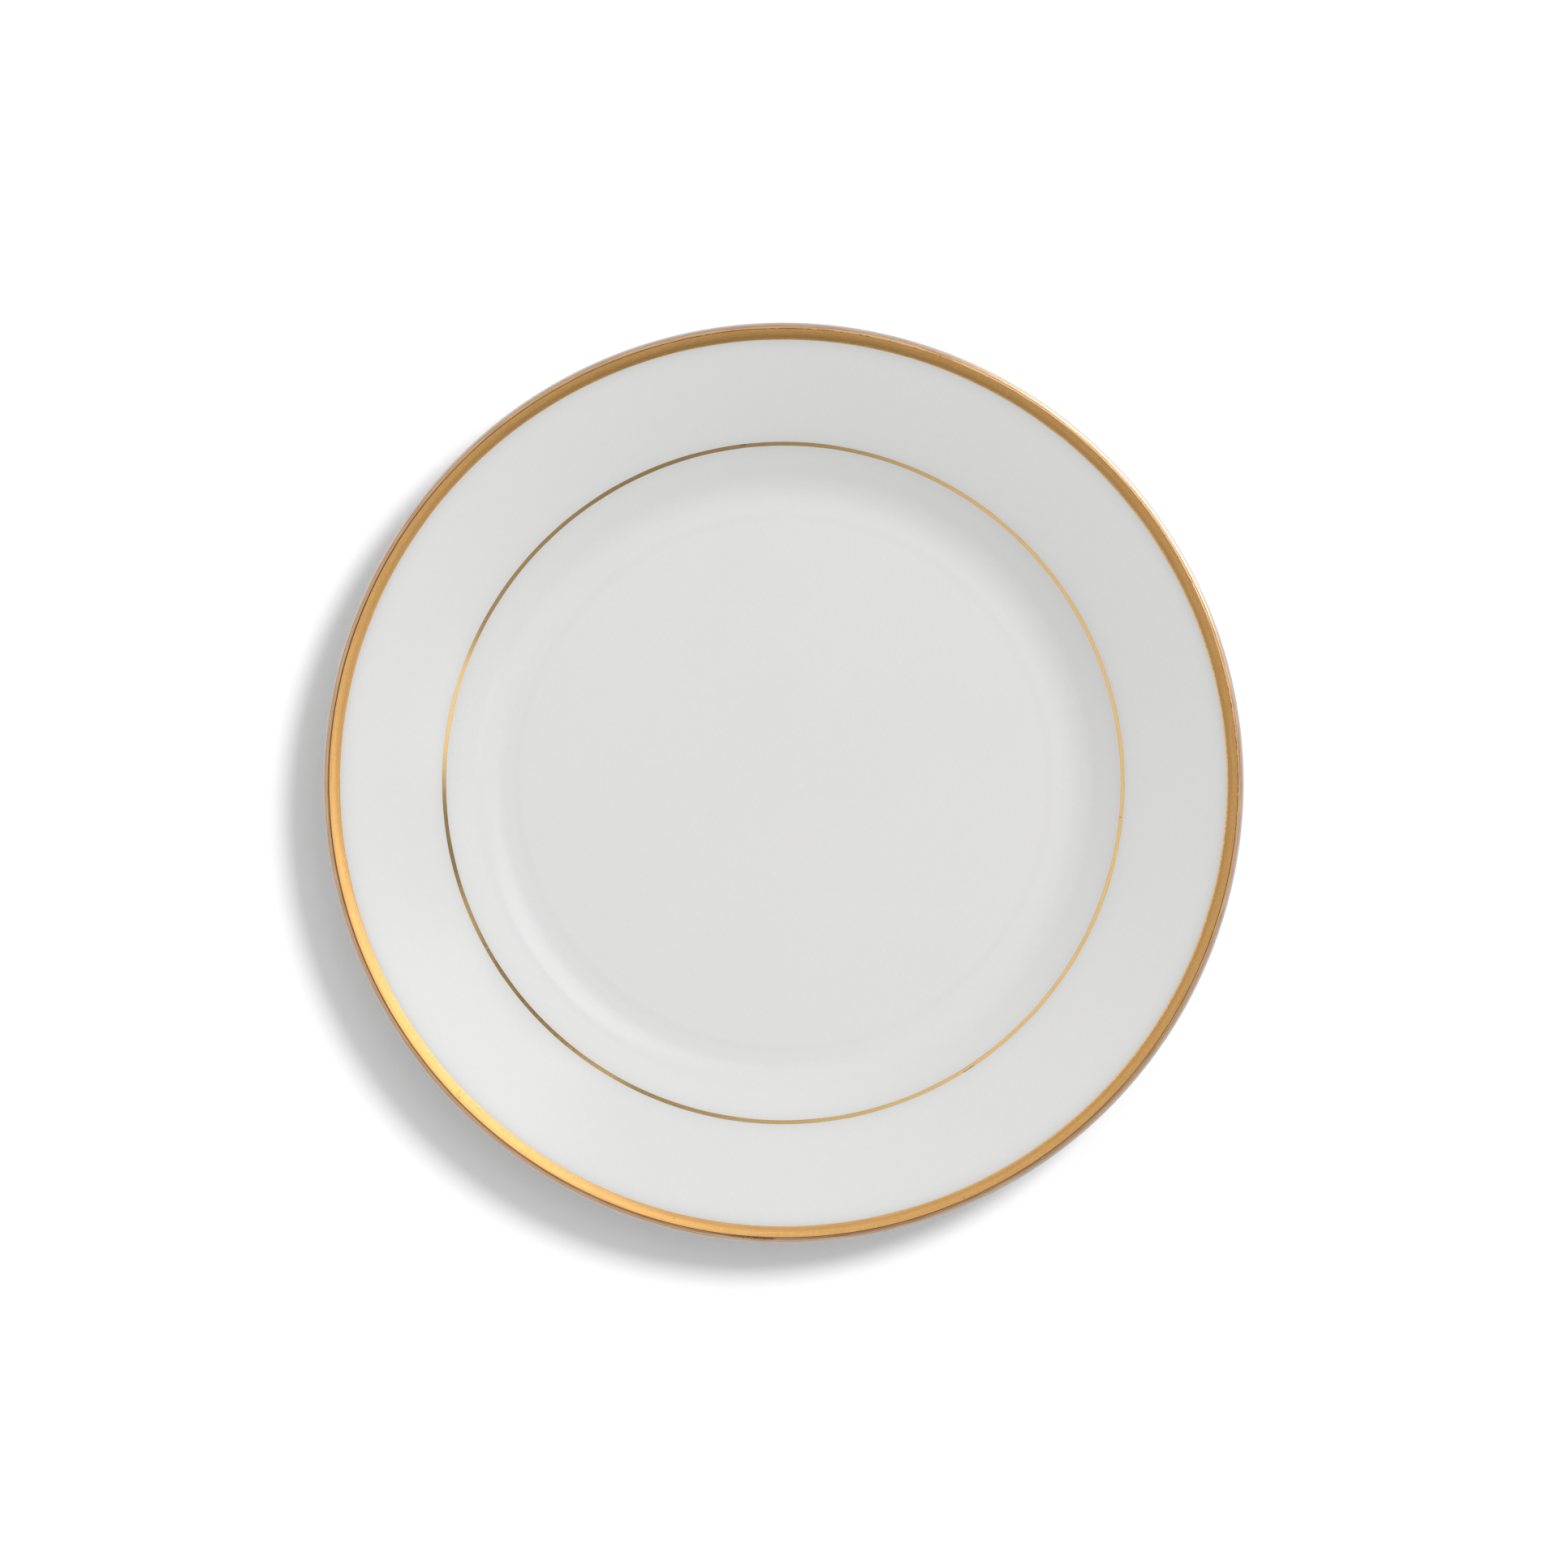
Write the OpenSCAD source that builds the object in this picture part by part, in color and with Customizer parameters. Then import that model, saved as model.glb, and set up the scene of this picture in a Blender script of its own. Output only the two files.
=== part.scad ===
// Dinner plate in white porcelain with gilding.
// A fired porcelain body carries two skins of clear glaze, which stop at the bare ground
// foot, and three bands of gold laid over the glaze. Every piece is a ring-shaped section
// turned about the Z axis. Millimetres; Z = 0 is the table, and the axis is the plate's own.

/* [Plate] */
// Outer diameter, over the glaze
plate_d = 270; // [250:1:290]
// Diameter of the verge, the shoulder where the well meets the rim
verge_d = 198.4; // [192:0.1:208]
// Diameter of the well's flat floor
floor_d = 163.4; // [150:0.1:166]
// Height of the underside inside the foot above the table
foot_h = 2.2; // [1.8:0.1:3]

/* [Section] */
// Thickness of the floor inside the foot, glaze included
floor_t = 4.2; // [3.8:0.1:5]
// Thickness of wall and rim, glaze included: twice the radius of the rounded lip
wall_t = 3.5; // [3:0.1:4]
// Steepness of the well's wall, in degrees
wall_slope = 26; // [25:1:34]
// Width, across the radius, of the straight stretch of wall between cove and shoulder
wall_run = 6.6; // [1:0.1:7]
// Radius of the shoulder at the verge
shoulder_round = 8; // [6:0.5:9]
// Steepness of the rim beside the verge, in degrees
rim_slope_in = 20; // [17:1:23]
// Steepness of the rim beside the gold band, in degrees
rim_slope_out = 15; // [10:1:16]
// Width, across the radius, of the roll that flattens the rim towards the lip
roll_w = 3.1; // [2:0.05:6]
// Steepness where the roll meets the rounded lip, in degrees
lip_slope = 6; // [3:1:7]

/* [Foot ring] */
// How far inside the edge of the flat floor the foot ring begins
foot_inset = 0; // [0:0.1:5]
// Width of the ground flat that touches the table
foot_w = 2; // [1.2:0.1:2.4]
// Lean of the foot's two walls from upright, in degrees
foot_draft = 15; // [10:1:20]
// Radius where the foot's walls run into the underside
foot_fillet = 1; // [0.6:0.1:1.2]
// Radius of the foot's two bottom edges
foot_edge = 0.5; // [0.3:0.05:0.6]

/* [Glaze and gold] */
// Thickness of the glaze
glaze_t = 0.25; // [0.2:0.05:0.4]
// Thickness of the gold, far more than the real film so that it is a solid
gold_t = 0.12; // [0.1:0.01:0.2]
// Width, across the radius, of the gold line at the verge
line_w = 1.12; // [0.6:0.01:2]
// How far over the lip the edge gilding runs from its top, in degrees
edge_turn = 42; // [20:1:80]

/* [Hidden] */
$fn = 240;

porcelain_colour = [0.93, 0.93, 0.90];
glaze_colour = [0.97, 0.98, 0.97];
gold_colour = [0.83, 0.62, 0.35];

// Straight pieces in each round: enough that none strays over 0.01 mm from the true curve
cove_n = 12;
shoulder_n = 5;
rim_n = 8;
roll_n = 3;
lip_n = 15;
foot_n = 6;
gold_n = 4;

// Points closer than this are one point
same_point = 0.001;

// The direction square to a surface that climbs at s degrees away from the axis
function square_to(s) = [-sin(s), cos(s)];

// Points on a round of radius r about c, while the surface's climb goes from s0 to s1
function round_run(c, r, s0, s1, n) = [for (i = [0:n]) c + r * square_to(s0 + (s1 - s0) * i / n)];

function reversed(points) = [for (i = [len(points) - 1:-1:0]) points[i]];

// The points with every one that repeats its forerunner left out
function distinct(points) = [
    for (i = [0:len(points) - 1])
        if (i == 0 || norm(points[i] - points[i - 1]) > same_point) points[i]
];

// The face, from the axis outward: floor, cove, wall, shoulder, rim, roll, lip.
// Each round's centre follows from the run before it, so that all of them join smoothly.
floor_z = foot_h + floor_t;
shoulder_r = verge_d / 2 - shoulder_round * (sin(wall_slope) - sin(rim_slope_in));
cove_round = (shoulder_r - wall_run - floor_d / 2) / sin(wall_slope);
cove_c = [floor_d / 2, floor_z + cove_round];
cove_end = cove_c - cove_round * square_to(wall_slope);
shoulder_start = cove_end + wall_run * [1, tan(wall_slope)];
shoulder_c = shoulder_start - shoulder_round * square_to(wall_slope);
rim_start = shoulder_c + shoulder_round * square_to(rim_slope_in);
lip_round = wall_t / 2;
rim_end_r = plate_d / 2 - lip_round * (1 + sin(lip_slope)) - roll_w;
rim_round = (rim_end_r - rim_start[0]) / (sin(rim_slope_in) - sin(rim_slope_out));
rim_c = rim_start - rim_round * square_to(rim_slope_in);
roll_round = roll_w / (sin(rim_slope_out) - sin(lip_slope));
roll_c = rim_c + (rim_round - roll_round) * square_to(rim_slope_out);
lip_c = roll_c + (roll_round - lip_round) * square_to(lip_slope);

// The rim's climb at the outer edge of the gold line
line_climb = asin((rim_c[0] - verge_d / 2 - line_w) / rim_round);

// The foot: its walls, the fillets that carry them into the underside, its bottom edges.
// The foot's outer fillet touches the underside where the flat floor ends, less the inset.
wall_climb = 90 - foot_draft;
back_z = floor_z - wall_t;
fillet_gap = foot_edge + glaze_t + foot_fillet;

// Distance across the radius from a bottom edge's centre to the centre of the fillet above
// it, where the underside is at height z
function fillet_reach(z) =
    fillet_gap * sin(wall_climb)
    + (z - foot_fillet - foot_edge + fillet_gap * cos(wall_climb)) / tan(wall_climb);

fillet_out_c = [floor_d / 2 - foot_inset, back_z - foot_fillet];
edge_out_c = [fillet_out_c[0] - fillet_reach(back_z), foot_edge];
edge_in_c = edge_out_c - [foot_w, 0];
fillet_in_c = [edge_in_c[0] - fillet_reach(foot_h), foot_h - foot_fillet];

// The three gilded stretches of the face, at a height h above the glaze. The band covers the
// roll and goes on to the top of the lip.
function line_run(h) = round_run(rim_c, rim_round + h, rim_slope_in, line_climb, gold_n);
function band_run(h) = concat(
    round_run(roll_c, roll_round + h, rim_slope_out, lip_slope, roll_n),
    round_run(lip_c, lip_round + h, lip_slope, 0, gold_n)
);
function edge_run(h) = round_run(lip_c, lip_round + h, 0, -edge_turn, gold_n);

// The face from the axis to the lip, at a depth d under the surface of the glaze
function face(d) = concat(
    [[0, floor_z - d]],
    round_run(cove_c, -cove_round - d, 0, wall_slope, cove_n),
    round_run(shoulder_c, shoulder_round - d, wall_slope, rim_slope_in, shoulder_n),
    line_run(-d),
    round_run(rim_c, rim_round - d, line_climb, rim_slope_out, rim_n),
    band_run(-d),
    edge_run(-d)
);

// The rest of the lip and the back, down to the bottom of the foot's outer wall
function back(d) = concat(
    round_run(lip_c, lip_round - d, -edge_turn, lip_slope - 180, lip_n),
    round_run(roll_c, roll_round - wall_t + d, lip_slope, rim_slope_out, roll_n),
    round_run(rim_c, rim_round - wall_t + d, rim_slope_out, rim_slope_in, rim_n),
    round_run(shoulder_c, shoulder_round - wall_t + d, rim_slope_in, wall_slope, shoulder_n),
    round_run(cove_c, -cove_round - wall_t + d, wall_slope, 0, cove_n),
    round_run(fillet_out_c, foot_fillet + d, 0, wall_climb, foot_n),
    [edge_out_c - (foot_edge + glaze_t - d) * square_to(wall_climb)]
);

// The foot's inner wall and the underside that it encloses, ending on the axis
function underside(d) = concat(
    [edge_in_c - (foot_edge + glaze_t - d) * square_to(-wall_climb)],
    round_run(fillet_in_c, foot_fillet + d, -wall_climb, 0, foot_n),
    [[0, foot_h + d]]
);

// The bare standing ring between the two skins of glaze: two rounded edges and a ground flat
function standing_ring() = concat(
    round_run(edge_out_c, -foot_edge, wall_climb, 0, foot_n),
    round_run(edge_in_c, -foot_edge, 0, -wall_climb, foot_n)
);

module turned(outline) {
    rotate_extrude() polygon(distinct(outline));
}

// The fired clay: well, rim, lip and foot, bare only on the standing ring
module porcelain_body() {
    color(porcelain_colour)
        turned(concat(face(glaze_t), back(glaze_t), standing_ring(), underside(glaze_t)));
}

// The glaze over the face, round the lip and down the back to the foot
module glaze_coat() {
    color(glaze_colour)
        turned(concat(face(0), back(0), reversed(back(glaze_t)), reversed(face(glaze_t))));
}

// The glaze inside the foot ring, cut off from the rest by the bare standing ring
module glaze_base() {
    color(glaze_colour) turned(concat(underside(0), reversed(underside(glaze_t))));
}

// The broad gold band: the outer end of the rim, up to the top of the lip
module gold_rim_band() {
    color(gold_colour) turned(concat(band_run(0), reversed(band_run(gold_t))));
}

// The edge gilding: from the top of the lip part of the way round it
module gold_lip_edge() {
    color(gold_colour) turned(concat(edge_run(0), reversed(edge_run(gold_t))));
}

// The gold line on the rim beside the verge
module gold_verge_line() {
    color(gold_colour) turned(concat(line_run(0), reversed(line_run(gold_t))));
}

porcelain_body();
glaze_coat();
glaze_base();
gold_rim_band();
gold_lip_edge();
gold_verge_line();
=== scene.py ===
from math import asin, cos, exp, pi, radians, sin, tan, tau

import bpy
from mathutils import Matrix, Vector


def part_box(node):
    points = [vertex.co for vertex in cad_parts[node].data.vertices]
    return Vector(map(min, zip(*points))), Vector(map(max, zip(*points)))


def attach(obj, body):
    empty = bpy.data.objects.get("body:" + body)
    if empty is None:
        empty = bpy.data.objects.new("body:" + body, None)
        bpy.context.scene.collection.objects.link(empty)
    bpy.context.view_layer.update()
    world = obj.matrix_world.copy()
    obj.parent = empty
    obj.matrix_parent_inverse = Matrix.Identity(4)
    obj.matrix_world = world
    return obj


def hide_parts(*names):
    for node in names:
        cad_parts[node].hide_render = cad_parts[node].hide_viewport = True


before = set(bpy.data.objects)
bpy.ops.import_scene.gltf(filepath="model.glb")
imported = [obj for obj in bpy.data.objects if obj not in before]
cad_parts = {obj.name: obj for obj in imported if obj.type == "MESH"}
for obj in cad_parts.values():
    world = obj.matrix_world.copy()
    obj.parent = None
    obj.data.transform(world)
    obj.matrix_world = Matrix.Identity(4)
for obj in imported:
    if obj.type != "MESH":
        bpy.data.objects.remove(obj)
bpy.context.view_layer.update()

# A white porcelain dinner plate with gilding, on a pale table under soft light.
# Lengths are in metres and angles in degrees. Every piece is a section turned about the Z
# axis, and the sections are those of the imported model, mostly in finer steps. Only the gold
# is thinner, and its brushed edges wander.

MM = 0.001

# ---------------------------------------------------------------- the plate's section

PLATE_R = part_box("glaze_coat")[1].x
LIP_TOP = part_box("glaze_coat")[1].z
LINE_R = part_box("gold_verge_line")[1].x
FLOOR_R = 81.7 * MM
VERGE_R = 99.2 * MM
FOOT_H = 2.2 * MM
FLOOR_Z = FOOT_H + 4.2 * MM
WALL_T = 3.5 * MM
GLAZE_T = 0.25 * MM
WALL_SLOPE, WALL_RUN = 26, 6.6 * MM
SHOULDER_ROUND = 8 * MM
RIM_SLOPE_IN, RIM_SLOPE_OUT = 20, 15
ROLL_W, LIP_SLOPE = 3.1 * MM, 6
EDGE_TURN = 42
FOOT_W = 2 * MM
WALL_CLIMB = 75
FOOT_FILLET, FOOT_EDGE = 1 * MM, 0.5 * MM

# The real film is under a thousandth of a millimetre: this is as thin as shades cleanly
GOLD_T = 0.012 * MM

# Steps round the axis. Each run of the glaze's and the body's sections has a multiple of FINE
SEGMENTS = 360
FINE = 3

# Edges that turn by more degrees than this are shaded sharp
SHARP_FROM = 30

# Points closer together than this are one point, and points closer to the axis lie on it
SAME_POINT = 1e-7


def sind(s):
    return sin(radians(s))


def cosd(s):
    return cos(radians(s))


def square_to(s):
    """The direction square to a surface that climbs at s degrees away from the axis."""
    return Vector((-sind(s), cosd(s)))


def round_run(c, r, s0, s1, n):
    """Points on a round of radius r about c, while the climb goes from s0 to s1."""
    return [c + r * square_to(s0 + (s1 - s0) * i / n) for i in range(n + 1)]


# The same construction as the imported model's: each round's centre follows from the run
# before it, so that all of them join smoothly.
shoulder_r = VERGE_R - SHOULDER_ROUND * (sind(WALL_SLOPE) - sind(RIM_SLOPE_IN))
COVE_ROUND = (shoulder_r - WALL_RUN - FLOOR_R) / sind(WALL_SLOPE)
COVE_C = Vector((FLOOR_R, FLOOR_Z + COVE_ROUND))
cove_end = COVE_C - COVE_ROUND * square_to(WALL_SLOPE)
shoulder_start = cove_end + WALL_RUN * Vector((1, tan(radians(WALL_SLOPE))))
SHOULDER_C = shoulder_start - SHOULDER_ROUND * square_to(WALL_SLOPE)
rim_start = SHOULDER_C + SHOULDER_ROUND * square_to(RIM_SLOPE_IN)
LIP_ROUND = WALL_T / 2
rim_end_r = PLATE_R - LIP_ROUND * (1 + sind(LIP_SLOPE)) - ROLL_W
RIM_ROUND = (rim_end_r - rim_start.x) / (sind(RIM_SLOPE_IN) - sind(RIM_SLOPE_OUT))
RIM_C = rim_start - RIM_ROUND * square_to(RIM_SLOPE_IN)
ROLL_ROUND = ROLL_W / (sind(RIM_SLOPE_OUT) - sind(LIP_SLOPE))
ROLL_C = RIM_C + (RIM_ROUND - ROLL_ROUND) * square_to(RIM_SLOPE_OUT)
LIP_C = ROLL_C + (ROLL_ROUND - LIP_ROUND) * square_to(LIP_SLOPE)
LINE_CLIMB = asin((RIM_C.x - LINE_R) / RIM_ROUND) * 360 / tau
BAND_R = RIM_C.x - RIM_ROUND * sind(RIM_SLOPE_OUT)

BACK_Z = FLOOR_Z - WALL_T
fillet_gap = FOOT_EDGE + GLAZE_T + FOOT_FILLET


def fillet_reach(z):
    """Distance across the radius from a bottom edge's centre to the fillet's centre."""
    rise = z - FOOT_FILLET - FOOT_EDGE + fillet_gap * cosd(WALL_CLIMB)
    return fillet_gap * sind(WALL_CLIMB) + rise / tan(radians(WALL_CLIMB))


FILLET_OUT_C = Vector((FLOOR_R, BACK_Z - FOOT_FILLET))
EDGE_OUT_C = Vector((FILLET_OUT_C.x - fillet_reach(BACK_Z), FOOT_EDGE))
EDGE_IN_C = EDGE_OUT_C - Vector((FOOT_W, 0))
FILLET_IN_C = Vector((EDGE_IN_C.x - fillet_reach(FOOT_H), FOOT_H - FOOT_FILLET))


def flat_run(r0, r1, z, n):
    """Points on a flat, closer together towards both of its ends."""
    return [Vector((r0 + (r1 - r0) * (1 - cosd(180 * i / n)) / 2, z)) for i in range(n + 1)]


def face(d):
    """The face from the axis to the top of the lip, at a depth d under the glaze's surface."""
    return (
        flat_run(0, FLOOR_R, FLOOR_Z - d, 4 * FINE)
        + round_run(COVE_C, -COVE_ROUND - d, 0, WALL_SLOPE, 6 * FINE)
        + round_run(SHOULDER_C, SHOULDER_ROUND - d, WALL_SLOPE, RIM_SLOPE_IN, 2 * FINE)
        + round_run(RIM_C, RIM_ROUND - d, RIM_SLOPE_IN, LINE_CLIMB, FINE)
        + round_run(RIM_C, RIM_ROUND - d, LINE_CLIMB, RIM_SLOPE_OUT, 3 * FINE)
        + round_run(ROLL_C, ROLL_ROUND - d, RIM_SLOPE_OUT, LIP_SLOPE, 2 * FINE)
        + round_run(LIP_C, LIP_ROUND - d, LIP_SLOPE, 0, FINE)
    )


def back(d):
    """The lip from its top and the back, down to the bottom of the foot's outer wall."""
    return (
        round_run(LIP_C, LIP_ROUND - d, 0, LIP_SLOPE - 180, 8 * FINE)
        + round_run(ROLL_C, ROLL_ROUND - WALL_T + d, LIP_SLOPE, RIM_SLOPE_OUT, 2 * FINE)
        + round_run(RIM_C, RIM_ROUND - WALL_T + d, RIM_SLOPE_OUT, RIM_SLOPE_IN, 3 * FINE)
        + round_run(SHOULDER_C, SHOULDER_ROUND - WALL_T + d, RIM_SLOPE_IN, WALL_SLOPE, 2 * FINE)
        + round_run(COVE_C, -COVE_ROUND - WALL_T + d, WALL_SLOPE, 0, 4 * FINE)
        + round_run(FILLET_OUT_C, FOOT_FILLET + d, 0, WALL_CLIMB, 2 * FINE)
        + [EDGE_OUT_C - (FOOT_EDGE + GLAZE_T - d) * square_to(WALL_CLIMB)]
    )


def underside(d):
    """The foot's inner wall and the underside inside it, ending on the axis."""
    return (
        [EDGE_IN_C - (FOOT_EDGE + GLAZE_T - d) * square_to(-WALL_CLIMB)]
        + round_run(FILLET_IN_C, FOOT_FILLET + d, -WALL_CLIMB, 0, 2 * FINE)
        + flat_run(FILLET_IN_C.x, 0, FOOT_H + d, 4 * FINE)
    )


def standing_ring():
    """The bare foot between the two skins of glaze: two rounded edges and a ground flat."""
    return (
        round_run(EDGE_OUT_C, -FOOT_EDGE, WALL_CLIMB, 0, 2 * FINE)
        + round_run(EDGE_IN_C, -FOOT_EDGE, 0, -WALL_CLIMB, 2 * FINE)
    )


# ---------------------------------------------------------------- meshes


def turned(name, outline_at):
    """A closed ring or disc. outline_at gives the section at each step round the Z axis, with
    the same number of points at every step. Points on the axis become poles."""
    sections = [outline_at(k) for k in range(SEGMENTS)]
    verts = []
    rings = []
    for i, p in enumerate(sections[0]):
        if p.x < SAME_POINT:
            rings.append([len(verts)])
            verts.append((0, 0, p.y))
            continue
        rings.append(range(len(verts), len(verts) + SEGMENTS))
        for k, section in enumerate(sections):
            turn = tau * k / SEGMENTS
            verts.append((section[i].x * cos(turn), section[i].x * sin(turn), section[i].y))
    faces = []
    for a, b in zip(rings, rings[1:] + rings[:1]):
        if len(a) == 1 and len(b) == 1:
            continue
        for k in range(SEGMENTS):
            j = (k + 1) % SEGMENTS
            if len(a) == 1:
                faces.append((a[0], b[k], b[j]))
            elif len(b) == 1:
                faces.append((a[k], b[0], a[j]))
            else:
                faces.append((a[k], b[k], b[j], a[j]))
    mesh = bpy.data.meshes.new(name)
    mesh.from_pydata(verts, [], faces)
    mesh.validate()
    mesh.shade_smooth()
    mesh.set_sharp_from_angle(angle=radians(SHARP_FROM))
    mesh.update()
    piece = bpy.data.objects.new(name, mesh)
    bpy.context.scene.collection.objects.link(piece)
    return piece


def plain_ring(name, outline):
    """A ring or disc with the same section all the way round."""
    points = []
    for p in outline:
        if not points or (p - points[-1]).length > SAME_POINT:
            points.append(p)
    if (points[0] - points[-1]).length < SAME_POINT:
        points.pop()
    return turned(name, lambda k: points)


# Waves round the plate by which a brushed edge wanders: how many to a turn, and their start.
# The outer edge's waves start elsewhere than the inner edge's.
WAVES = ((5, 0.4), (13, 2.9), (31, 1.1), (47, 4.6))
OUTER_WAVES_START = pi / 3


def wander(k, start):
    """A smooth number from -1 to 1 that comes back to itself after a turn."""
    turn = tau * k / SEGMENTS
    return sum(sin(n * turn + phase + start) for n, phase in WAVES) / len(WAVES)


def smooth(t):
    t = min(max(t, 0), 1)
    return t * t * (3 - 2 * t)


def gilded(name, run, steps, feather, sway):
    """A film of gold on a run of the face. feather is the share of its width over which it
    thins to nothing at its inner and its outer edge, and sway is the share of its width by
    which those edges wander. An edge without feather or sway is upright and true."""

    def outline_at(k):
        start = sway[0] * wander(k, 0)
        end = 1 - sway[1] * wander(k, OUTER_WAVES_START)
        under = []
        top = []
        for i in range(steps + 1):
            t = i / steps
            height = GOLD_T
            if feather[0]:
                height *= smooth(t / feather[0])
            if feather[1]:
                height *= smooth((1 - t) / feather[1])
            u = start + (end - start) * t
            under.append(run(u, 0))
            if height > 0:
                top.append(run(u, height))
        return under + top[::-1]

    return turned(name, outline_at)


def verge_at(u, h):
    """The gold line: u goes from 0 at its inner edge to 1 at its outer, at a height h."""
    return RIM_C + (RIM_ROUND + h) * square_to(RIM_SLOPE_IN + (LINE_CLIMB - RIM_SLOPE_IN) * u)


def band_at(u, h):
    """The gold band: the roll for most of the way, then the lip as far as its top."""
    roll_share = 0.9
    if u < roll_share:
        climb = RIM_SLOPE_OUT + (LIP_SLOPE - RIM_SLOPE_OUT) * u / roll_share
        return ROLL_C + (ROLL_ROUND + h) * square_to(climb)
    climb = LIP_SLOPE * (1 - u) / (1 - roll_share)
    return LIP_C + (LIP_ROUND + h) * square_to(climb)


def edge_at(u, h):
    """The edge gilding, from the top of the lip outward and down."""
    return LIP_C + (LIP_ROUND + h) * square_to(-EDGE_TURN * u)


def place(piece, node, material):
    """Puts a finished piece in its CAD node's stead."""
    piece.data.materials.append(material)
    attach(piece, "root")
    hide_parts(node)


# ---------------------------------------------------------------- node trees

# A mix node has several sockets of each name: these are the ones that it uses for colours
MIX_FACTOR, MIX_FROM, MIX_TO = 0, 6, 7
MIX_RESULT = 2


class Nodes:
    """A small hand for building a node tree. Lengths inside the trees are in millimetres."""

    def __init__(self, tree):
        self.tree = tree
        tree.nodes.clear()

    def add(self, kind, **settings):
        node = self.tree.nodes.new(kind)
        for key, value in settings.items():
            setattr(node, key, value)
        return node

    def feed(self, socket, value):
        """Sets a socket to a number or colour, or links it to another socket."""
        if isinstance(value, bpy.types.NodeSocket):
            self.tree.links.new(value, socket)
        else:
            socket.default_value = value

    def math(self, operation, *values):
        node = self.add("ShaderNodeMath", operation=operation)
        for socket, value in zip(node.inputs, values):
            self.feed(socket, value)
        return node.outputs[0]

    def times(self, *values):
        """The product of several values."""
        product = values[0]
        for value in values[1:]:
            product = self.math("MULTIPLY", product, value)
        return product

    def rest(self, value):
        """What the value lacks of 1."""
        return self.math("SUBTRACT", 1, value)

    def distance(self, a, b):
        """How far apart two numbers are."""
        return self.math("ABSOLUTE", self.math("SUBTRACT", a, b))

    def ramp(self, value, start, end, low=0, high=1):
        """A smooth step from low to high while the value goes from start to end."""
        node = self.add("ShaderNodeMapRange", interpolation_type="SMOOTHSTEP")
        limits = (("From Min", start), ("From Max", end), ("To Min", low), ("To Max", high))
        self.feed(node.inputs["Value"], value)
        for name, limit in limits:
            self.feed(node.inputs[name], limit)
        return node.outputs[0]

    def fall(self, value, start, end):
        """A smooth step from 1 down to 0 while the value goes from start to end."""
        return self.ramp(value, start, end, low=1, high=0)

    def line(self, value, centre, half, soft):
        """1 within half of the centre, falling smoothly to 0 over the soft width beyond."""
        return self.fall(self.distance(value, centre), half, half + soft)

    def blend(self, factor, a, b):
        """The colour that goes from a to b as the factor goes from 0 to 1."""
        node = self.add("ShaderNodeMix", data_type="RGBA")
        self.feed(node.inputs[MIX_FACTOR], factor)
        self.feed(node.inputs[MIX_FROM], a)
        self.feed(node.inputs[MIX_TO], b)
        return node.outputs[MIX_RESULT]

    def shade(self, colour, factor):
        """The colour, darkened or lightened by a factor."""
        node = self.add("ShaderNodeVectorMath", operation="SCALE")
        self.feed(node.inputs[0], colour)
        self.feed(node.inputs["Scale"], factor)
        return node.outputs[0]

    def split(self, vector):
        """The x, y and z of a vector."""
        node = self.add("ShaderNodeSeparateXYZ")
        self.feed(node.inputs[0], vector)
        return node.outputs

    def noise(self, point, scale, detail=2, roughness=0.5):
        node = self.add("ShaderNodeTexNoise")
        self.feed(node.inputs["Vector"], point)
        self.feed(node.inputs["Scale"], scale)
        self.feed(node.inputs["Detail"], detail)
        self.feed(node.inputs["Roughness"], roughness)
        return node.outputs["Fac"]

    def round_the_plate(self):
        """The point on the plate in millimetres, its radius, and its azimuth in degrees."""
        in_metres = self.add("ShaderNodeTexCoord").outputs["Object"]
        point = self.shade(in_metres, 1 / MM)
        x, y = self.split(point)[:2]
        radius = self.math("SQRT", self.math("ADD", self.times(x, x), self.times(y, y)))
        azimuth = self.math("DEGREES", self.math("ARCTAN2", y, x))
        return point, radius, azimuth

    def streaks(self, point, radius, along, across, detail=3):
        """A noise drawn out along the circumference, as a brush or a grinding wheel leaves.
        along and across are how many of its grains go to a millimetre."""
        x, y = self.split(point)[:2]
        join = self.add("ShaderNodeCombineXYZ")
        self.feed(join.inputs[0], self.times(x, along))
        self.feed(join.inputs[1], self.times(y, along))
        self.feed(join.inputs[2], self.times(radius, across))
        return self.noise(join.outputs[0], scale=1, detail=detail, roughness=0.6)

    def bump(self, shader, height, depth_mm, strength):
        """Relief finer than the mesh: the height from 0 to 1 over a depth."""
        node = self.add("ShaderNodeBump")
        self.feed(node.inputs["Strength"], strength)
        self.feed(node.inputs["Distance"], depth_mm * MM)
        self.feed(node.inputs["Height"], height)
        self.feed(shader.inputs["Normal"], node.outputs[0])


def new_material(name):
    material = bpy.data.materials.new(name)
    material.use_nodes = True
    nodes = Nodes(material.node_tree)
    shader = nodes.add("ShaderNodeBsdfPrincipled")
    output = nodes.add("ShaderNodeOutputMaterial")
    nodes.feed(output.inputs["Surface"], shader.outputs[0])
    return material, nodes, shader


# ---------------------------------------------------------------- colours and marks

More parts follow.
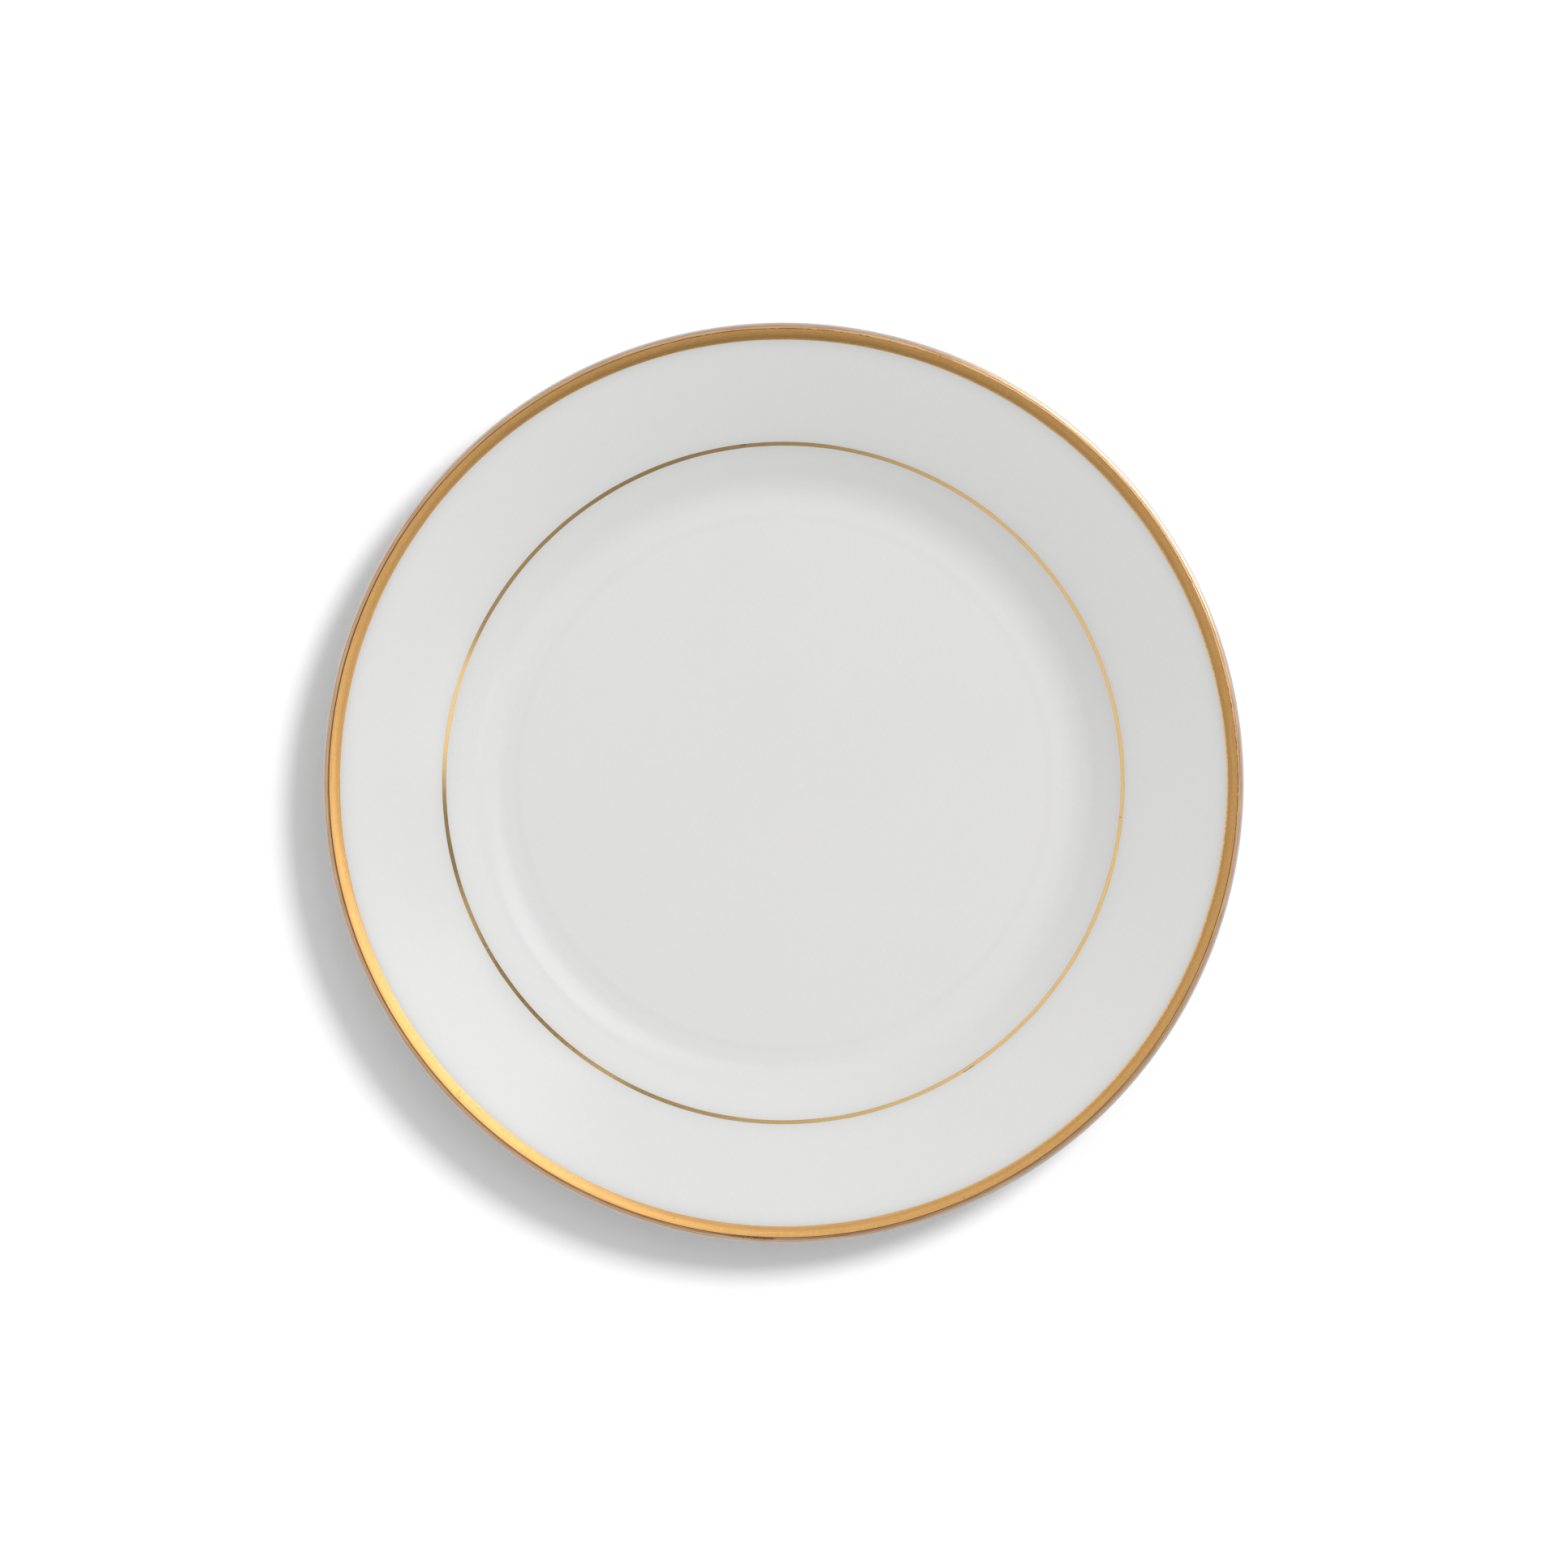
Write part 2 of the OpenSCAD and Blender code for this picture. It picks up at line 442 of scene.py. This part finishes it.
# The glaze's two whites, and the golds
GLAZE_COOL = (0.645, 0.648, 0.642, 1)
GLAZE_WARM = (0.655, 0.652, 0.640, 1)
GOLD_BRIGHT = (0.95, 0.52, 0.125, 1)
GOLD_DEEP = (0.87, 0.44, 0.095, 1)
GOLD_BROWN = (0.64, 0.31, 0.09, 1)
GOLD_WORN_AND_HIGHLIGHT = (0.74, 0.46, 0.19, 1)
LINE_PALE = (1.0, 0.69, 0.28, 1)
LINE_DEEP = (0.94, 0.595, 0.21, 1)
LINE_BARE = (0.80, 0.74, 0.68, 1)
SEAM_BROWN = (0.16, 0.06, 0.02, 1)
COPPER_PALE = (0.93, 0.59, 0.32, 1)
COPPER_DEEP = (0.74, 0.375, 0.155, 1)
MAUVE = (0.38, 0.25, 0.22, 1)

# The bare clay of the foot, where it was ground, and where it is soiled
CLAY = (0.60, 0.585, 0.55, 1)
CLAY_GROUND = (0.50, 0.48, 0.44, 1)
CLAY_SOILED = (0.36, 0.33, 0.29, 1)

# The glaze at the very edge, outside the gold: painted shade over most of the plate, and
# painted light round two azimuths. Each row has the azimuth, the degrees to either side within
# which the edge has painted light, and those beyond which it has painted shade. It begins and
# is complete at radii in millimetres.
EDGE_PAINTED_SHADE = (0.36, 0.345, 0.34, 1)
EDGE_PAINTED_LIGHT = (0.66, 0.54, 0.43, 1)
EDGE_PAINTED_LIGHT_AT = ((200, 40, 110), (44, 15, 30))
EDGE_FROM, EDGE_FULL = 134.25, 134.55

# How much painted shade darkens the glaze beside the gold line and band, and over how many
# millimetres that fades. A faint ring of painted shade shows in the floor over the foot.
LINE_PAINTED_SHADE, LINE_PAINTED_SHADE_REACH = 0.10, 1.6
BAND_PAINTED_SHADE, BAND_PAINTED_SHADE_REACH = 0.17, 1.5
FOOT_RING_R, FOOT_RING_PAINTED_SHADE = 78.5, 0.016

# A small painted highlight on the pip in the floor of the well, placed in millimetres
PIP_HIGHLIGHT_AT = (4.9, -0.7, FLOOR_Z / MM)

# The azimuth where the band's inner edge is most worn and has the most painted highlight
BAND_WORN_AND_HIGHLIGHT_AT = -12

# Marks: azimuth in degrees, radius, length round the plate and width across it in millimetres
BAND_MARKS = (
    (-136.4, 131.6, 0.25, 1.6),
    (-135.9, 132.2, 0.30, 0.9),
    (-104.1, 131.5, 0.30, 0.25),
    (-66.5, 132.6, 0.25, 0.25),
)
LINE_LAPS = (
    (-57.0, 100.2, 3.6, 0.18),
    (-5.8, 99.5, 0.12, 0.7),
    (96.8, 100.1, 1.6, 0.22),
)

# The gold line: its width, its middle, and the join in it, cut through its whole width
LINE_W_MM = 1.12
LINE_MIDDLE = LINE_R / MM - LINE_W_MM / 2
LINE_JOIN = (96.1, LINE_MIDDLE, 0.16, 2)

# The seam between band and edge gilding, on top of the lip: its radius, and the azimuths where
# it is gone and where it is widest. Its scuff: the azimuth where that begins, its length in
# degrees, and how far it reaches to either side in millimetres where it is widest.
SEAM_R = LIP_C.x / MM
SEAM_GONE_AT = 45
SEAM_WIDE_AT = 175
SCUFF_FROM, SCUFF_LONG, SCUFF_WIDE = -101, 9.5, 0.6
SCUFF_STRENGTH = 0.8

# ---------------------------------------------------------------- materials


def turned_from(nodes, azimuth, start):
    """How many degrees round the plate it is from an azimuth, either way: 0 to 180."""
    away = nodes.distance(azimuth, start)
    return nodes.math("MINIMUM", away, nodes.math("SUBTRACT", 360, away))


def painted_shade_beside_gold(nodes, radius, centre, half, depth, reach):
    """The painted shade that a gold line casts into the glaze beside it: strongest at the line's
    edge, and fading with the distance from it."""
    beyond = nodes.math("SUBTRACT", nodes.distance(radius, centre), half)
    fade = nodes.math("POWER", exp(-1 / reach), nodes.math("MAXIMUM", beyond, 0))
    return nodes.rest(nodes.times(fade, depth))


def edge_painted_light_and_shade(nodes, colour, radius, azimuth, up):
    """The glaze's colour with painted shade and painted light laid over it at the very edge."""
    outermost = nodes.ramp(radius, EDGE_FROM, EDGE_FULL)
    not_under = nodes.ramp(up, -0.5, -0.15)
    # Painted light round two azimuths, painted shade over the rest of the edge
    pale = [
        nodes.fall(turned_from(nodes, azimuth, middle), full, gone)
        for middle, full, gone in EDGE_PAINTED_LIGHT_AT
    ]
    edge_colour = nodes.blend(nodes.math("MAXIMUM", *pale), EDGE_PAINTED_SHADE, EDGE_PAINTED_LIGHT)
    strength = nodes.times(outermost, not_under, 0.85)
    return nodes.blend(strength, colour, edge_colour)


def glaze_material():
    """White glazed porcelain: barely mottled, with a faint orange peel, painted shade beside the
    gold, a faint ring of painted shade over the foot, painted shade and painted light at the
    very edge, and a painted highlight on a pip in the well."""
    material, nodes, shader = new_material("clear_glaze_on_porcelain")
    point, radius, azimuth = nodes.round_the_plate()
    cloud = nodes.noise(point, scale=0.018, detail=3)
    grain = nodes.noise(point, scale=0.9)
    colour = nodes.blend(nodes.ramp(cloud, 0.35, 0.65), GLAZE_COOL, GLAZE_WARM)
    colour = nodes.shade(colour, nodes.ramp(grain, 0.2, 0.8, low=0.992, high=1.008))

    up = nodes.split(nodes.add("ShaderNodeTexCoord").outputs["Normal"])[2]
    on_face = nodes.ramp(up, -0.1, 0.1)
    # Painted shade in the glaze beside the gold line and band, where the gold keeps light out of
    # it
    depth = nodes.times(on_face, LINE_PAINTED_SHADE)
    painted_shade_factor = painted_shade_beside_gold(nodes, radius, LINE_MIDDLE, LINE_W_MM / 2, depth, LINE_PAINTED_SHADE_REACH)
    colour = nodes.shade(colour, painted_shade_factor)
    band_mid = (BAND_R + PLATE_R) / 2 / MM
    band_half = (PLATE_R - BAND_R) / 2 / MM
    depth = nodes.times(on_face, BAND_PAINTED_SHADE)
    painted_shade_factor = painted_shade_beside_gold(nodes, radius, band_mid, band_half, depth, BAND_PAINTED_SHADE_REACH)
    colour = nodes.shade(colour, painted_shade_factor)
    # Painted shade in a faint ring in the floor over the foot
    painted_foot_ring = nodes.line(radius, FOOT_RING_R, half=0.5, soft=1.5)
    colour = nodes.shade(colour, nodes.rest(nodes.times(painted_foot_ring, on_face, FOOT_RING_PAINTED_SHADE)))
    colour = edge_painted_light_and_shade(nodes, colour, radius, azimuth, up)

    # A small painted highlight on the pip
    from_pip = nodes.add("ShaderNodeVectorMath", operation="DISTANCE")
    nodes.feed(from_pip.inputs[0], point)
    nodes.feed(from_pip.inputs[1], PIP_HIGHLIGHT_AT)
    painted_highlight = nodes.ramp(from_pip.outputs["Value"], 0.15, 0.6, low=1.05, high=1)
    colour = nodes.shade(colour, painted_highlight)
    nodes.feed(shader.inputs["Base Color"], colour)
    wear = nodes.noise(point, scale=0.12, detail=4, roughness=0.65)
    nodes.feed(shader.inputs["Roughness"], nodes.ramp(wear, 0.3, 0.75, low=0.035, high=0.085))
    nodes.bump(shader, nodes.noise(point, scale=0.35), depth_mm=0.02, strength=0.12)
    return material


def porcelain_material():
    """The bare foot: unglazed, ground flat, a little grey from the tables that it stood on."""
    material, nodes, shader = new_material("bare_ground_porcelain")
    point, radius = nodes.round_the_plate()[:2]
    grinding = nodes.streaks(point, radius, along=0.4, across=9)
    grain = nodes.noise(point, scale=5, detail=3)
    colour = nodes.blend(nodes.ramp(grinding, 0.3, 0.7), CLAY, CLAY_GROUND)
    soil = nodes.ramp(nodes.noise(point, scale=0.11, detail=4, roughness=0.7), 0.52, 0.72)
    colour = nodes.blend(nodes.times(soil, 0.6), colour, CLAY_SOILED)
    colour = nodes.shade(colour, nodes.ramp(grain, 0.25, 0.75, low=0.94, high=1.05))
    nodes.feed(shader.inputs["Base Color"], colour)
    nodes.feed(shader.inputs["Roughness"], nodes.ramp(grinding, 0.2, 0.8, low=0.62, high=0.88))
    nodes.bump(shader, grain, depth_mm=0.03, strength=0.5)
    return material


def gold_shader(name, film_roughness):
    """Bright gold under the clear film that makes it glossy, still without its colour."""
    material, nodes, shader = new_material(name)
    shader.inputs["Metallic"].default_value = 1
    shader.inputs["Coat Weight"].default_value = 1
    shader.inputs["Coat IOR"].default_value = 1.75
    shader.inputs["Coat Roughness"].default_value = film_roughness
    return material, nodes, shader


def spot(nodes, radius, azimuth, at_azimuth, at_radius, long, wide):
    """A mark on the gold: 1 inside a small patch that is long round the plate and wide across."""
    off = nodes.math("SUBTRACT", azimuth, at_azimuth)
    round_way = nodes.times(off, at_radius * tau / 360)
    in_length = nodes.line(round_way, 0, long / 2, soft=0.12)
    in_width = nodes.line(radius, at_radius, wide / 2, soft=0.1)
    return nodes.times(in_length, in_width)


def marked(nodes, colour, radius, azimuth, marks, strength):
    """The colour with brown marks laid over it."""
    for mark in marks:
        patch = spot(nodes, radius, azimuth, *mark)
        colour = nodes.blend(nodes.times(patch, strength), colour, SEAM_BROWN)
    return colour


def seam_line(nodes, point, radius, azimuth):
    """The dark line where the two gildings meet on top of the lip: whole on one side of the
    plate, broken into dashes elsewhere, and all but gone in one quarter."""
    gone = nodes.ramp(turned_from(nodes, azimuth, SEAM_GONE_AT), 15, 75, low=0.62, high=0.2)
    dashes = nodes.streaks(point, radius, along=0.75, across=0.3, detail=2)
    there = nodes.ramp(nodes.math("SUBTRACT", dashes, gone), 0, 0.06)
    sideways = nodes.math("SUBTRACT", nodes.noise(point, scale=0.5), 0.5)
    wobble = nodes.times(sideways, 0.10)
    off = nodes.math("SUBTRACT", nodes.math("ADD", radius, wobble), SEAM_R)
    thinness = nodes.ramp(turned_from(nodes, azimuth, SEAM_WIDE_AT), 20, 50, low=0.7, high=1.05)
    return nodes.times(there, nodes.line(nodes.times(off, thinness), 0, half=0.08, soft=0.07))


def scuff(nodes, point, radius, azimuth):
    """Where the gold at the seam was rubbed off in specks: a ragged stretch of the lip's top,
    widest and densest at one end."""
    way = nodes.math("SUBTRACT", azimuth, SCUFF_FROM)
    begins = nodes.ramp(way, 0, SCUFF_LONG * 0.7)
    ends = nodes.fall(way, SCUFF_LONG, SCUFF_LONG + 0.8)
    along = nodes.times(begins, ends)
    reach = nodes.math("ADD", nodes.times(along, SCUFF_WIDE), 0.05)
    off = nodes.math("SUBTRACT", radius, SEAM_R + 0.2)
    near = nodes.rest(nodes.math("DIVIDE", nodes.math("ABSOLUTE", off), reach))
    specks = nodes.noise(point, scale=2.4, detail=4, roughness=0.8)
    rubbed = nodes.ramp(nodes.math("ADD", nodes.times(near, 0.20), specks), 0.60, 0.66)
    return nodes.times(along, rubbed)


def band_gold_material():
    """The broad band: brushed gold, browner in a strip of its inner half as painted darker
    reflection, with a paler inner edge that is partly worn and partly painted highlight, a dark
    broken line along the top of the lip, a scuff, and a few old marks."""
    material, nodes, shader = gold_shader("gold_of_the_band", film_roughness=0.12)
    point, radius, azimuth = nodes.round_the_plate()
    brush = nodes.streaks(point, radius, along=0.10, across=3.2)
    fine = nodes.streaks(point, radius, along=0.9, across=11)
    mottle = nodes.noise(point, scale=1.1, detail=3, roughness=0.6)
    inner = BAND_R / MM
    colour = nodes.blend(nodes.ramp(brush, 0.32, 0.68), GOLD_DEEP, GOLD_BRIGHT)
    # A browner strip in the band's inner half: painted darker reflection
    strip_from = nodes.ramp(radius, inner + 0.35, inner + 0.6)
    strip_to = nodes.fall(radius, inner + 1.0, inner + 1.9)
    patchy = nodes.ramp(mottle, 0.3, 0.6, low=0.1, high=0.5)
    colour = nodes.blend(nodes.times(strip_from, strip_to, patchy), colour, GOLD_BROWN)
    colour = nodes.shade(colour, nodes.ramp(fine, 0.25, 0.75, low=0.92, high=1.07))
    colour = nodes.shade(colour, nodes.ramp(mottle, 0.3, 0.7, low=0.95, high=1.04))

    # The paler, less metallic inner edge: partly wear, partly a painted highlight
    tatters = nodes.noise(point, scale=2.2, detail=3, roughness=0.7)
    ragged = nodes.ramp(tatters, 0.35, 0.7, low=0.05, high=0.42)
    pale = nodes.fall(nodes.math("SUBTRACT", radius, ragged), inner, inner + 0.25)
    from_worn_and_highlight = turned_from(nodes, azimuth, BAND_WORN_AND_HIGHLIGHT_AT)
    worn_and_highlight = nodes.times(pale, nodes.ramp(from_worn_and_highlight, 25, 60, low=0.9, high=0.2))
    colour = nodes.blend(worn_and_highlight, colour, GOLD_WORN_AND_HIGHLIGHT)
    seam = seam_line(nodes, point, radius, azimuth)
    colour = nodes.blend(seam, colour, SEAM_BROWN)
    colour = marked(nodes, colour, radius, azimuth, BAND_MARKS, strength=0.4)
    rubbed = scuff(nodes, point, radius, azimuth)
    colour = nodes.blend(nodes.times(rubbed, SCUFF_STRENGTH), colour, SEAM_BROWN)
    nodes.feed(shader.inputs["Base Color"], colour)

    nodes.feed(shader.inputs["Metallic"], nodes.rest(worn_and_highlight))
    satin = nodes.ramp(mottle, 0.25, 0.75, low=0.15, high=0.24)
    satin = nodes.math("ADD", satin, nodes.times(worn_and_highlight, 0.08))
    dull = nodes.times(nodes.math("MAXIMUM", seam, rubbed), 0.2)
    nodes.feed(shader.inputs["Roughness"], nodes.math("ADD", satin, dull))
    nodes.bump(shader, fine, depth_mm=0.01, strength=0.25)
    return material


def edge_gold_material():
    """The gilding of the lip's edge: coppery, finely streaked along the edge, dark at its
    seam with the band, and ending in a thin mauve-brown line."""
    material, nodes, shader = gold_shader("gold_of_the_lip", film_roughness=0.14)
    point, radius, azimuth = nodes.round_the_plate()
    brush = nodes.streaks(point, radius, along=0.08, across=7)
    fine = nodes.streaks(point, radius, along=0.12, across=6)
    colour = nodes.blend(nodes.ramp(brush, 0.36, 0.64), COPPER_DEEP, COPPER_PALE)
    colour = nodes.shade(colour, nodes.ramp(fine, 0.3, 0.7, low=0.74, high=1.1))
    outer = (LIP_C.x + LIP_ROUND * sind(EDGE_TURN)) / MM
    ending = nodes.ramp(radius, outer - 0.14, outer - 0.02)
    colour = nodes.blend(nodes.times(ending, 0.8), colour, MAUVE)
    seam = seam_line(nodes, point, radius, azimuth)
    rubbed = nodes.times(scuff(nodes, point, radius, azimuth), SCUFF_STRENGTH)
    colour = nodes.blend(nodes.math("MAXIMUM", seam, rubbed), colour, SEAM_BROWN)
    nodes.feed(shader.inputs["Base Color"], colour)
    nodes.feed(shader.inputs["Roughness"], nodes.ramp(brush, 0.3, 0.7, low=0.24, high=0.34))
    nodes.bump(shader, fine, depth_mm=0.01, strength=0.25)
    return material


def line_gold_material():
    """The verge line: one brush stroke, darker at its edges, with the join where the stroke
    met its own start and a few laps where the brush was lifted and set down again."""
    material, nodes, shader = gold_shader("gold_of_the_verge_line", film_roughness=0.05)
    point, radius, azimuth = nodes.round_the_plate()
    brush = nodes.streaks(point, radius, along=0.12, across=5)
    mottle = nodes.noise(point, scale=1.6, detail=3, roughness=0.6)
    colour = nodes.blend(nodes.ramp(brush, 0.32, 0.68), LINE_DEEP, LINE_PALE)
    colour = nodes.shade(colour, nodes.ramp(mottle, 0.3, 0.7, low=0.93, high=1.04))
    body = nodes.line(radius, LINE_MIDDLE, LINE_W_MM / 2 - 0.22, soft=0.24)
    patchy = nodes.ramp(mottle, 0.35, 0.65, low=0.1, high=0.6)
    colour = nodes.blend(nodes.times(nodes.rest(body), patchy), colour, GOLD_BROWN)
    colour = marked(nodes, colour, radius, azimuth, LINE_LAPS, strength=0.65)
    gap = spot(nodes, radius, azimuth, *LINE_JOIN)
    colour = nodes.blend(nodes.times(gap, 0.7), colour, LINE_BARE)
    nodes.feed(shader.inputs["Base Color"], colour)
    nodes.feed(shader.inputs["Roughness"], nodes.ramp(mottle, 0.25, 0.75, low=0.06, high=0.13))
    nodes.bump(shader, brush, depth_mm=0.01, strength=0.12)
    return material


# ---------------------------------------------------------------- the pieces


def glaze_coat(glaze):
    """The glaze over the face, round the lip and down the back to the foot."""
    outline = face(0) + back(0) + back(GLAZE_T)[::-1] + face(GLAZE_T)[::-1]
    place(plain_ring("glaze_over_face_and_back", outline), "glaze_coat", glaze)


def glaze_base(glaze):
    """The glaze inside the foot ring."""
    outline = underside(0) + underside(GLAZE_T)[::-1]
    place(plain_ring("glaze_inside_foot", outline), "glaze_base", glaze)


def porcelain_body():
    """The fired clay, bare only on the ring that the plate stands on."""
    outline = face(GLAZE_T) + back(GLAZE_T) + standing_ring() + underside(GLAZE_T)
    body = plain_ring("porcelain", outline)
    place(body, "porcelain_body", porcelain_material())


def gold_verge_line():
    """The fine line on the rim beside the verge: its edges are upright, and wander."""
    sway = (0.035, 0.035)
    film = gilded("gold_verge_line_film", verge_at, steps=12, feather=(0, 0), sway=sway)
    place(film, "gold_verge_line", line_gold_material())


def gold_rim_band():
    """The broad band, thinning at its inner edge."""
    sway = (0.012, 0)
    film = gilded("gold_rim_band_film", band_at, steps=30, feather=(0.12, 0), sway=sway)
    place(film, "gold_rim_band", band_gold_material())


def gold_lip_edge():
    """The edge gilding, thinning where it ends outside the lip."""
    sway = (0, 0.03)
    film = gilded("gold_lip_edge_film", edge_at, steps=16, feather=(0, 0.1), sway=sway)
    place(film, "gold_lip_edge", edge_gold_material())


# ---------------------------------------------------------------- table, light and camera

TABLE_COLOUR = (0.95, 0.95, 0.95, 1)
BACKDROP_COLOUR = (0.95, 0.95, 0.95, 1)

# The sides, as azimuths, and the brightness of the tent's zones and of its lamps
TENT_LOW = 0.94
LOW_DIM_SIDE = 185
TENT_LOW_DIM = 0.88
RING_SIDE = 165
RING_DIM = 0.2
RING_LESS_DIM_SIDE = 285
RING_LESS_DIM = 0.44
RING_BRIGHT = 0.95
TOP_SIDE = 50
TOP_DIM = 0.6
TOP_BRIGHT = 0.9
FIGURE_SIDE = 280
FIGURE_SHADE = 0.35
WINDOW_SIDE = 40
WINDOW_LIGHT = 1.5
SIDE_LAMP_AT = 348
SIDE_LAMP = 0.75
LOW_LAMP = 7
KEY_LIGHT = 31.4

# Where one zone gives way to the next, as the cosine of the angle from straight up
RING_BEGINS = (0.60, 0.70)
TOP_BEGINS = (0.81, 0.88)


def direction(azimuth, zenith):
    return Vector((sind(zenith) * cosd(azimuth), sind(zenith) * sind(azimuth), cosd(zenith)))


def table():
    """A wide pale table, a hair under the foot."""
    half = 20
    gap = 0.02 * MM
    corners = [(-half, -half, 0), (half, -half, 0), (half, half, 0), (-half, half, 0)]
    mesh = bpy.data.meshes.new("table")
    mesh.from_pydata(corners, [], [(0, 1, 2, 3)])
    top = bpy.data.objects.new("table", mesh)
    top.location.z = -gap
    bpy.context.scene.collection.objects.link(top)
    material, _, shader = new_material("pale_table")
    shader.inputs["Base Color"].default_value = TABLE_COLOUR
    shader.inputs["Roughness"].default_value = 0.9
    shader.inputs["Specular IOR Level"].default_value = 0
    mesh.materials.append(material)


def key_lamp(azimuth, zenith, distance, width, radiance):
    """A round lamp that faces the plate and casts its shadow, as bright per area as radiance
    says. It doesn't show in the glaze: the tent's window does."""
    data = bpy.data.lights.new("key", "AREA")
    data.shape = "DISK"
    data.size = width
    area = pi / 4 * width * width
    data.energy = radiance * pi * area
    lamp = bpy.data.objects.new("key", data)
    back_way = direction(azimuth, zenith)
    up = direction(azimuth, zenith - 90)
    side = up.cross(back_way)
    lamp.matrix_world = Matrix((
        (side.x, up.x, back_way.x, back_way.x * distance),
        (side.y, up.y, back_way.y, back_way.y * distance),
        (side.z, up.z, back_way.z, back_way.z * distance),
        (0, 0, 0, 1),
    ))
    lamp.visible_glossy = False
    bpy.context.scene.collection.objects.link(lamp)


def tent_level(nodes):
    """How bright the tent is in each direction. It has three zones, from the table up: one
    that is nearly even, a middle ring that is bright on one side only, and a top that is
    bright on another. It is darker near the table. Over the plate are an opening for the
    camera and the dark figure of the photographer. A window and two lamps are added to it."""
    x, y, z = nodes.split(nodes.add("ShaderNodeTexCoord").outputs["Generated"])

    def towards(azimuth):
        """How far the direction leans towards an azimuth: the sine of its zenith angle there."""
        return nodes.math("ADD", nodes.times(x, cosd(azimuth)), nodes.times(y, sind(azimuth)))

    def beside(azimuth, near, far, level):
        """The level within near of an azimuth's own line, falling to 0 at far to each side."""
        off = nodes.math("ABSOLUTE", towards(azimuth + 90))
        return nodes.ramp(off, near, far, level, 0)

    def between(zone, a, b):
        """Goes from a to b with the zone, from 0 to 1."""
        return nodes.math("ADD", a, nodes.times(nodes.math("SUBTRACT", b, a), zone))

    dim = nodes.ramp(towards(RING_LESS_DIM_SIDE), -0.4, 0.4, RING_DIM, RING_LESS_DIM)
    ring = nodes.ramp(towards(RING_SIDE), -0.5, 0.6, dim, RING_BRIGHT)
    top = nodes.ramp(towards(TOP_SIDE), -0.38, 0.27, TOP_DIM, TOP_BRIGHT)
    low = nodes.ramp(towards(LOW_DIM_SIDE), 0.35, 0.85, TENT_LOW, TENT_LOW_DIM)
    wall = between(nodes.ramp(z, *RING_BEGINS), low, ring)
    wall = between(nodes.ramp(z, *TOP_BEGINS), wall, top)
    near_table = nodes.ramp(z, 0.10, 0.36, low=0.4)
    opening = nodes.ramp(z, cosd(11), cosd(6), low=1, high=0.75)
    lean = nodes.ramp(towards(FIGURE_SIDE), 0.1, 0.35)
    stripe = beside(FIGURE_SIDE, 0.10, 0.45, FIGURE_SHADE)
    figure = nodes.times(lean, stripe, nodes.ramp(z, 0.70, 0.82))
    level = nodes.times(wall, near_table, opening, nodes.rest(figure))

    out = towards(WINDOW_SIDE)
    fade_in = nodes.ramp(out, sind(2), sind(22))
    fade_out = nodes.fall(out, sind(35), sind(37))
    window = nodes.times(fade_in, fade_out, beside(WINDOW_SIDE, 0.06, 0.27, WINDOW_LIGHT))
    far_out = nodes.ramp(towards(SIDE_LAMP_AT), 0.52, 0.60)
    side_lamp = nodes.times(far_out, beside(SIDE_LAMP_AT, 0.06, 0.18, SIDE_LAMP))
    side_lamp = nodes.times(side_lamp, nodes.ramp(z, 0.66, 0.72))

    # One more lamp, low behind the window: the glaze is nowhere steep enough to show it, but
    # the gold on the lip is. It lights nothing else
    glossy = nodes.add("ShaderNodeLightPath").outputs["Is Glossy Ray"]
    low_down = nodes.ramp(out, sind(53), sind(60))
    low_lamp = nodes.times(low_down, beside(WINDOW_SIDE, 0.22, 0.36, LOW_LAMP), glossy)

    for lamp in (window, side_lamp, low_lamp):
        level = nodes.math("ADD", level, lamp)
    return level


def tent():
    """The light tent round the table, and the plain backdrop that the camera sees in its
    place beyond the table's edge."""
    world = bpy.data.worlds.new("light_tent")
    bpy.context.scene.world = world
    world.use_nodes = True
    nodes = Nodes(world.node_tree)
    light = nodes.add("ShaderNodeBackground")
    nodes.feed(light.inputs["Strength"], tent_level(nodes))
    backdrop = nodes.add("ShaderNodeBackground")
    backdrop.inputs["Color"].default_value = BACKDROP_COLOUR
    mix = nodes.add("ShaderNodeMixShader")
    nodes.feed(mix.inputs[0], nodes.add("ShaderNodeLightPath").outputs["Is Camera Ray"])
    nodes.feed(mix.inputs[1], light.outputs[0])
    nodes.feed(mix.inputs[2], backdrop.outputs[0])
    output = nodes.add("ShaderNodeOutputWorld")
    nodes.feed(output.inputs["Surface"], mix.outputs[0])


def camera():
    """Straight above the plate, far off, with the plate a little under 3/5 of the frame. The
    eye is a hair off the axis, so that the plate isn't quite in the frame's middle."""
    far = 3.0
    off_x, off_y = 0.18 * MM, -0.30 * MM
    plate_share = 0.5876
    data = bpy.data.cameras.new("camera")
    data.lens = data.sensor_width * (far - LIP_TOP) * plate_share / (2 * PLATE_R)
    data.clip_end = 100
    eye = bpy.data.objects.new("camera", data)
    eye.location = (off_x, off_y, far)
    bpy.context.scene.collection.objects.link(eye)
    bpy.context.scene.camera = eye


GLAZE = glaze_material()
glaze_coat(GLAZE)
glaze_base(GLAZE)
porcelain_body()
gold_verge_line()
gold_rim_band()
gold_lip_edge()

table()
tent()
key_lamp(azimuth=40, zenith=37, distance=6.0, width=1.7, radiance=KEY_LIGHT)
camera()
bpy.context.scene.view_settings.view_transform = "Standard"
